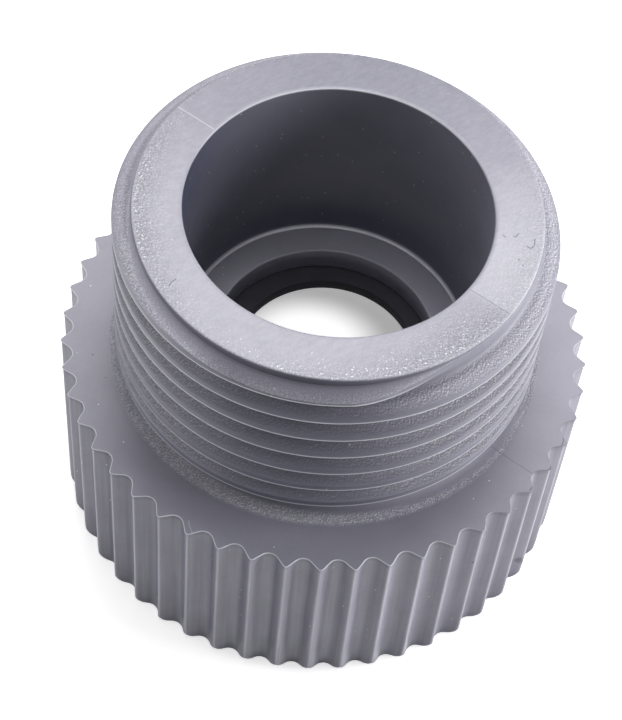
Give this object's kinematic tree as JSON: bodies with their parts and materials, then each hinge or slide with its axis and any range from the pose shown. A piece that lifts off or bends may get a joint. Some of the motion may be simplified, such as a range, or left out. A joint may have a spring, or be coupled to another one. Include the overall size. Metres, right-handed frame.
{
  "type": "threaded adapter",
  "caption": "Moulded plastic threaded adapter: male pipe thread above a fluted grip collar, with a female socket and a flat rubber washer inside it.",
  "frame": {"origin": "on the axis at the open end of the socket, the plane on which the adapter stands", "axes": "+Z along the axis, from the socket's mouth to the sealing face of the male thread; -Y is the front, where the male thread begins"},
  "size_m": [0.0332, 0.0332, 0.0272],
  "materials": {
    "body_plastic": "satin moulded grey, with a fine eroded texture on the sealing face and the thread's upper flanks",
    "washer_rubber": "matte black"
  },
  "bodies": {
    "root": {"adapter_body": "body_plastic", "sealing_washer": "washer_rubber"}
  },
  "joints": []
}
